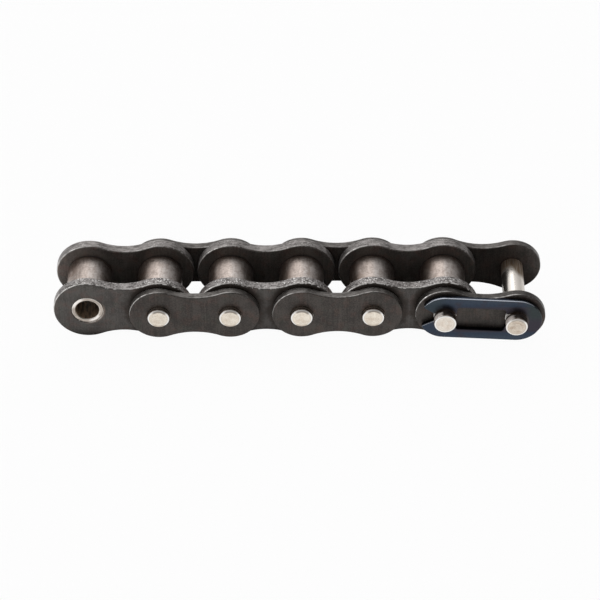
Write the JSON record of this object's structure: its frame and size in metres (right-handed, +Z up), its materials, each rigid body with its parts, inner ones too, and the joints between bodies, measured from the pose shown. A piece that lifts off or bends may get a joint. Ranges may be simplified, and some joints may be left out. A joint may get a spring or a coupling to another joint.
{
  "type": "roller chain length with connecting link",
  "caption": "Short length of single-strand roller chain that ends in a detachable connecting link held by a flat spring clip.",
  "frame": {"origin": "centre of the open bush at the strand's free end, halfway across the strand", "axes": "+X along the strand towards the connecting link, +Z up, -Y towards the side that carries the spring clip"},
  "size_m": [0.1312, 0.0288, 0.018],
  "materials": {
    "inner_plate": "dark oiled steel with lighter sheared edges",
    "outer_plate": "dark browned steel, faintly streaked",
    "bush": "bright turned steel",
    "roller": "satin grey-brown hardened steel",
    "pin": "bright ground steel",
    "clip": "dark blued spring steel"
  },
  "bodies": {
    "inner_link_1": {"inner_plate_1_front": "inner_plate", "inner_plate_1_back": "inner_plate", "bush_0": "bush", "bush_1": "bush"},
    "inner_link_2": {"inner_plate_2_front": "inner_plate", "inner_plate_2_back": "inner_plate", "bush_2": "bush", "bush_3": "bush"},
    "inner_link_3": {"inner_plate_3_front": "inner_plate", "inner_plate_3_back": "inner_plate", "bush_4": "bush", "bush_5": "bush"},
    "outer_link_1": {"outer_plate_1_front": "outer_plate", "outer_plate_1_back": "outer_plate", "rivet_pin_1": "pin", "rivet_pin_2": "pin"},
    "outer_link_2": {"outer_plate_2_front": "outer_plate", "outer_plate_2_back": "outer_plate", "rivet_pin_3": "pin", "rivet_pin_4": "pin"},
    "connecting_link": {"connecting_plate": "outer_plate", "connecting_pin_5": "pin", "connecting_pin_6": "pin", "cover_plate": "outer_plate", "spring_clip": "clip"},
    "roller_body_0": {"roller_0": "roller"},
    "roller_body_1": {"roller_1": "roller"},
    "roller_body_2": {"roller_2": "roller"},
    "roller_body_3": {"roller_3": "roller"},
    "roller_body_4": {"roller_4": "roller"},
    "roller_body_5": {"roller_5": "roller"}
  },
  "joints": [
    {"name": "pivot_2", "type": "hinge", "parent": "inner_link_2", "child": "outer_link_1", "pos_m": [0.0381, 0, 0], "axis": [0, 1, 0], "range_deg": [-118, 118]},
    {"name": "pivot_1", "type": "hinge", "parent": "outer_link_1", "child": "inner_link_1", "pos_m": [0.01905, 0, 0], "axis": [0, -1, 0], "range_deg": [-118, 118]},
    {"name": "pivot_3", "type": "hinge", "parent": "inner_link_2", "child": "outer_link_2", "pos_m": [0.05715, 0, 0], "axis": [0, 1, 0], "range_deg": [-118, 118]},
    {"name": "pivot_4", "type": "hinge", "parent": "outer_link_2", "child": "inner_link_3", "pos_m": [0.0762, 0, 0], "axis": [0, -1, 0], "range_deg": [-118, 118]},
    {"name": "pivot_5", "type": "hinge", "parent": "inner_link_3", "child": "connecting_link", "pos_m": [0.09525, 0, 0], "axis": [0, 1, 0], "range_deg": [-121.61, 114.39]},
    {"name": "roller_spin_0", "type": "hinge", "parent": "inner_link_1", "child": "roller_body_0", "pos_m": [0, 0, 0], "axis": [0, 1, 0], "continuous": true},
    {"name": "roller_spin_1", "type": "hinge", "parent": "inner_link_1", "child": "roller_body_1", "pos_m": [0.01905, 0, 0], "axis": [0, 1, 0], "continuous": true},
    {"name": "roller_spin_2", "type": "hinge", "parent": "inner_link_2", "child": "roller_body_2", "pos_m": [0.0381, 0, 0], "axis": [0, 1, 0], "continuous": true},
    {"name": "roller_spin_3", "type": "hinge", "parent": "inner_link_2", "child": "roller_body_3", "pos_m": [0.05715, 0, 0], "axis": [0, 1, 0], "continuous": true},
    {"name": "roller_spin_4", "type": "hinge", "parent": "inner_link_3", "child": "roller_body_4", "pos_m": [0.0762, 0, 0], "axis": [0, 1, 0], "continuous": true},
    {"name": "roller_spin_5", "type": "hinge", "parent": "inner_link_3", "child": "roller_body_5", "pos_m": [0.09525, 0, 0], "axis": [0, 1, 0], "continuous": true}
  ]
}
